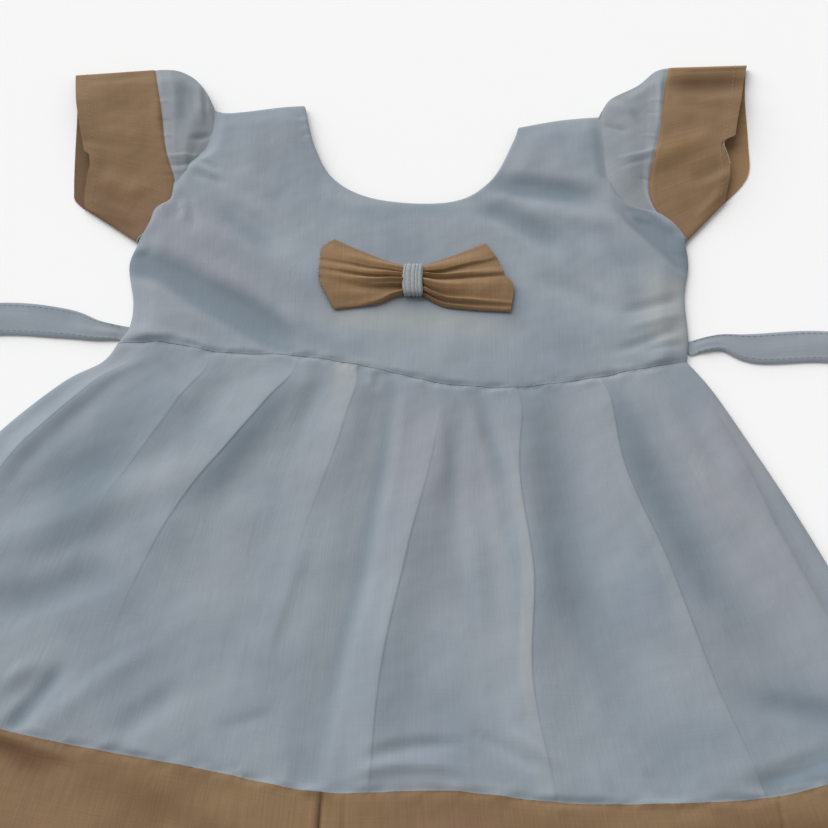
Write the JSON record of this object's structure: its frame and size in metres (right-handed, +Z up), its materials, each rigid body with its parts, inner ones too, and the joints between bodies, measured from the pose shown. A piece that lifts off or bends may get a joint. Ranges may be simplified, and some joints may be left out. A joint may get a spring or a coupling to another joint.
{
  "type": "baby dress",
  "caption": "Baby dress laid flat: white bodice and pleated skirt, cap sleeves and hem with tan bands, a tan bow and waist ties.",
  "frame": {"origin": "middle of the waist, on the surface that the dress lies on", "axes": "+X to the right as the front is seen, +Y towards the neck, -Y towards the hem, +Z up out of the front"},
  "size_m": [0.6037, 0.4407, 0.0116],
  "materials": {
    "white_cotton": "soft matt plain weave",
    "tan_cotton": "fine plain weave with a faint sheen",
    "white_braid": "close ribbed cord"
  },
  "bodies": {
    "root": {"bodice_front": "white_cotton", "bodice_back_left": "white_cotton", "bodice_back_right": "white_cotton", "skirt_front": "white_cotton", "skirt_back": "white_cotton", "hem_band_front": "tan_cotton", "hem_band_back": "tan_cotton", "sleeve_left": "white_cotton", "sleeve_right": "white_cotton", "sleeve_band_left": "tan_cotton", "sleeve_band_right": "tan_cotton", "bow_left": "tan_cotton", "bow_right": "tan_cotton", "bow_knot": "white_braid", "tie_left": "white_cotton", "tie_right": "white_cotton"}
  },
  "joints": []
}
